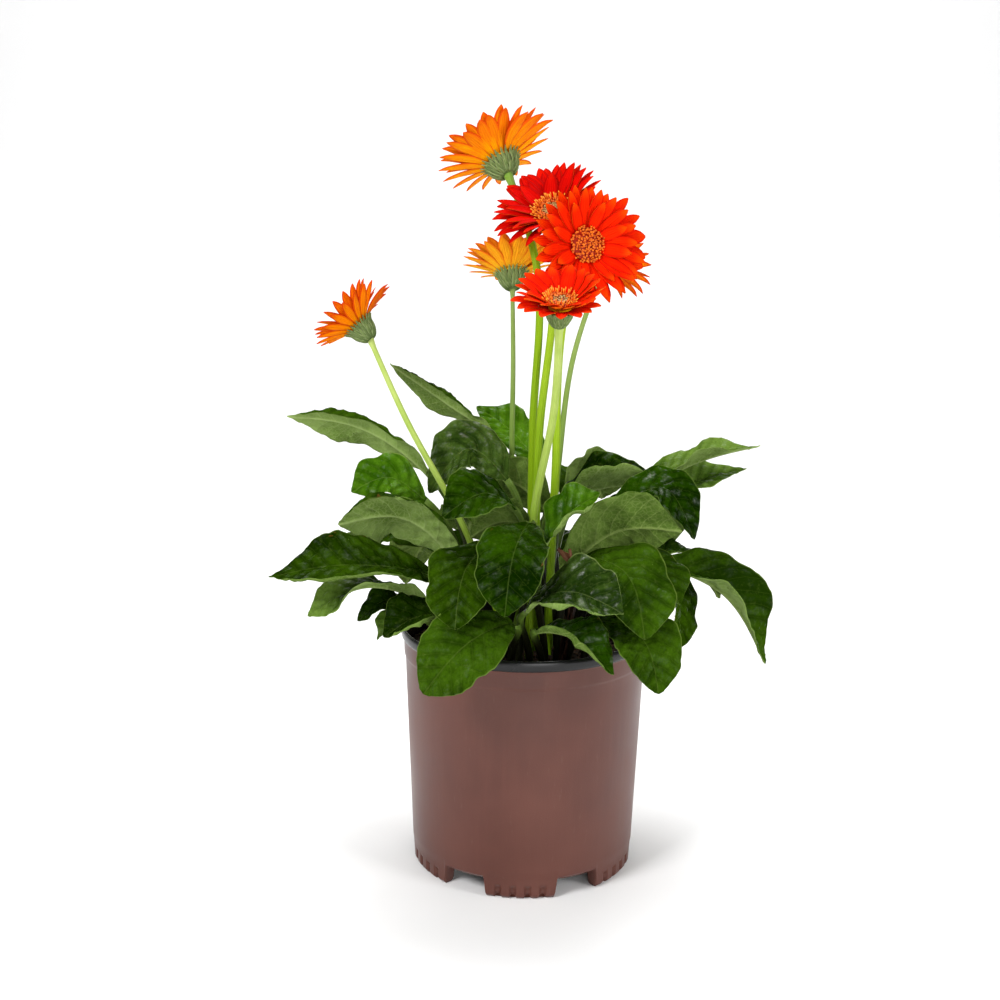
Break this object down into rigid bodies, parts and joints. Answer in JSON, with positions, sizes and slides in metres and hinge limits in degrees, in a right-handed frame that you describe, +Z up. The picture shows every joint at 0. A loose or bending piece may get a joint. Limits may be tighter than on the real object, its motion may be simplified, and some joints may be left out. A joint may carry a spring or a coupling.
{
  "type": "potted gerbera",
  "caption": "Flowering gerbera clump with wavy leaves and daisy heads on bare stalks, growing from soil in a round plastic nursery pot that stands on fluted feet.",
  "frame": {"origin": "on the ground under the pot's axis, at the middle of the object's footprint", "axes": "+Z up along the pot's axis, -Y towards the front, where the widest red flower looks, +X to the right seen from the front"},
  "size_m": [0.3165, 0.2508, 0.4893],
  "materials": {
    "pot_plastic": "satin brown outside, black inside and on the lip",
    "potting_soil": "crumbly, matt",
    "green_stalk": "downy, light green",
    "leaf_top": "glossy, puckered between the veins",
    "leaf_underside": "pale, felted",
    "petal_red": "velvety",
    "petal_orange": "satin",
    "flower_disc": "dense small florets"
  },
  "bodies": {
    "root": {"pot": "pot_plastic", "soil": "potting_soil", "scape_far_left": "green_stalk", "rays_far_left": "petal_orange", "disc_far_left": "flower_disc", "scape_top": "green_stalk", "rays_top": "petal_orange", "disc_top": "flower_disc", "scape_red_left": "green_stalk", "rays_red_left": "petal_red", "disc_red_left": "flower_disc", "scape_red_front": "green_stalk", "rays_red_front": "petal_red", "disc_red_front": "flower_disc", "scape_small_back": "green_stalk", "rays_small_back": "petal_orange", "disc_small_back": "flower_disc", "scape_low_front": "green_stalk", "rays_low_front": "petal_red", "disc_low_front": "flower_disc", "scape_right_back": "green_stalk", "rays_right_back": "petal_orange", "disc_right_back": "flower_disc", "leaf_high_left": "leaf_underside", "leaf_upper_left": "leaf_underside", "leaf_upper_back": "leaf_top", "leaf_crumpled_left": "leaf_top", "leaf_round_left": "leaf_top", "leaf_felt_centre": "leaf_underside", "leaf_felt_small": "leaf_underside", "leaf_pale_left": "leaf_underside", "leaf_behind_left": "leaf_top", "leaf_long_left": "leaf_top", "leaf_curled_left": "leaf_underside", "leaf_grey_left": "leaf_top", "leaf_narrow_left": "leaf_top", "leaf_rim_left": "leaf_top", "leaf_olive_front": "leaf_top", "leaf_dark_front": "leaf_top", "leaf_centre_front": "leaf_top", "leaf_small_front": "leaf_top", "leaf_silver_front": "leaf_top", "leaf_low_front": "leaf_top", "leaf_over_rim_front": "leaf_top", "leaf_ribbed_front": "leaf_top", "leaf_over_rim_right": "leaf_top", "leaf_pale_right": "leaf_underside", "leaf_gloss_right": "leaf_top", "leaf_hidden_right": "leaf_top", "leaf_grey_right": "leaf_top", "leaf_drooping_right": "leaf_top", "leaf_cupped_right": "leaf_top", "leaf_light_right": "leaf_top", "leaf_light_under": "leaf_top", "leaf_olive_back": "leaf_underside", "leaf_back_right": "leaf_top", "leaf_back_low": "leaf_top", "leaf_back_left": "leaf_top", "leaf_pair_right": "leaf_top", "leaf_pair_left": "leaf_top"}
  },
  "joints": []
}
